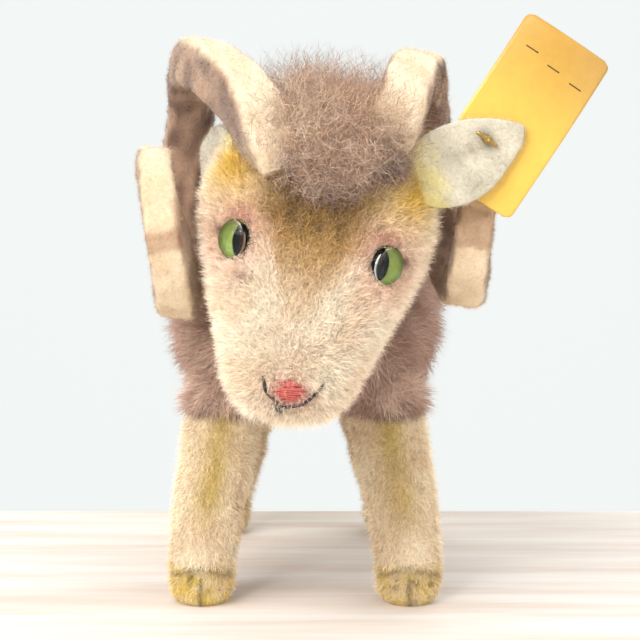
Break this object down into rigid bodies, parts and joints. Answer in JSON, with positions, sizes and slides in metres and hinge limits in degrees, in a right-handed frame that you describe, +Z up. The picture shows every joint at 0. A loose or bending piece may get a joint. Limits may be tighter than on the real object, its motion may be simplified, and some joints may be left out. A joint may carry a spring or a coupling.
{
  "type": "stuffed toy ram",
  "caption": "Small standing stuffed plush ram with curled felt horns, felt ears, glass eyes, a head that turns on a disc joint and a card tag on one ear.",
  "frame": {"origin": "middle of the bounding box in X and Y, on the surface the feet stand on", "axes": "+Z up, the ram faces -Y, its left side is +X"},
  "size_m": [0.0936, 0.14, 0.1244],
  "materials": {
    "brown_plush": "long curly plush with brown tips",
    "crown_plush": "long curly plush with dark tips",
    "face_plush": "short cream plush",
    "leg_plush": "short cream plush, airbrushed",
    "horn_felt": "wool felt, airbrushed",
    "ear_felt": "wool felt",
    "wood_wool": "packed stuffing",
    "steel": "plain",
    "cardboard": "pressed card",
    "clear_glass": "polished",
    "green_glass": "opaque green enamel",
    "black_glass": "opaque black enamel",
    "nose_thread": "cotton thread",
    "mouth_thread": "cotton thread",
    "seam_thread": "cotton thread",
    "rivet_brass": "dull",
    "card": "yellow card"
  },
  "bodies": {
    "body": {"body_skin": "brown_plush", "body_stuffing": "wood_wool", "tail": "brown_plush", "belly_seam_thread": "seam_thread", "front_left_leg_skin": "leg_plush", "front_left_leg_stuffing": "wood_wool", "front_right_leg_skin": "leg_plush", "front_right_leg_stuffing": "wood_wool", "front_leg_wire": "steel", "rear_left_leg_skin": "leg_plush", "rear_left_leg_stuffing": "wood_wool", "rear_right_leg_skin": "leg_plush", "rear_right_leg_stuffing": "wood_wool", "rear_leg_wire": "steel", "body_neck_disc": "cardboard", "body_neck_washer": "steel", "neck_cotter_pin": "steel"},
    "head": {"head_neck_disc": "cardboard", "head_neck_washer": "steel", "face_skin": "face_plush", "crown_skin": "crown_plush", "head_stuffing": "wood_wool", "nose_stitching": "nose_thread", "mouth_stitching": "mouth_thread", "left_eye_glass": "clear_glass", "left_eye_pupil": "black_glass", "left_eye_iris": "green_glass", "left_eye_shank": "steel", "right_eye_glass": "clear_glass", "right_eye_pupil": "black_glass", "right_eye_iris": "green_glass", "right_eye_shank": "steel", "left_horn_felt": "horn_felt", "left_horn_core": "wood_wool", "right_horn_felt": "horn_felt", "right_horn_core": "wood_wool", "left_ear": "ear_felt", "right_ear": "ear_felt", "tag_rivet": "rivet_brass"},
    "tag": {"tag": "card"}
  },
  "joints": [
    {"name": "head_swivel", "type": "hinge", "parent": "body", "child": "head", "pos_m": [-0.01289, -0.03224, 0.066], "axis": [0, -0.9848, 0.1736], "range_deg": [-35, 30]},
    {"name": "tag_swivel", "type": "hinge", "parent": "head", "child": "tag", "pos_m": [0.02311, -0.05154, 0.1001], "axis": [-0.0302, -0.9995, 0.0026], "range_deg": [-70, 40]}
  ]
}
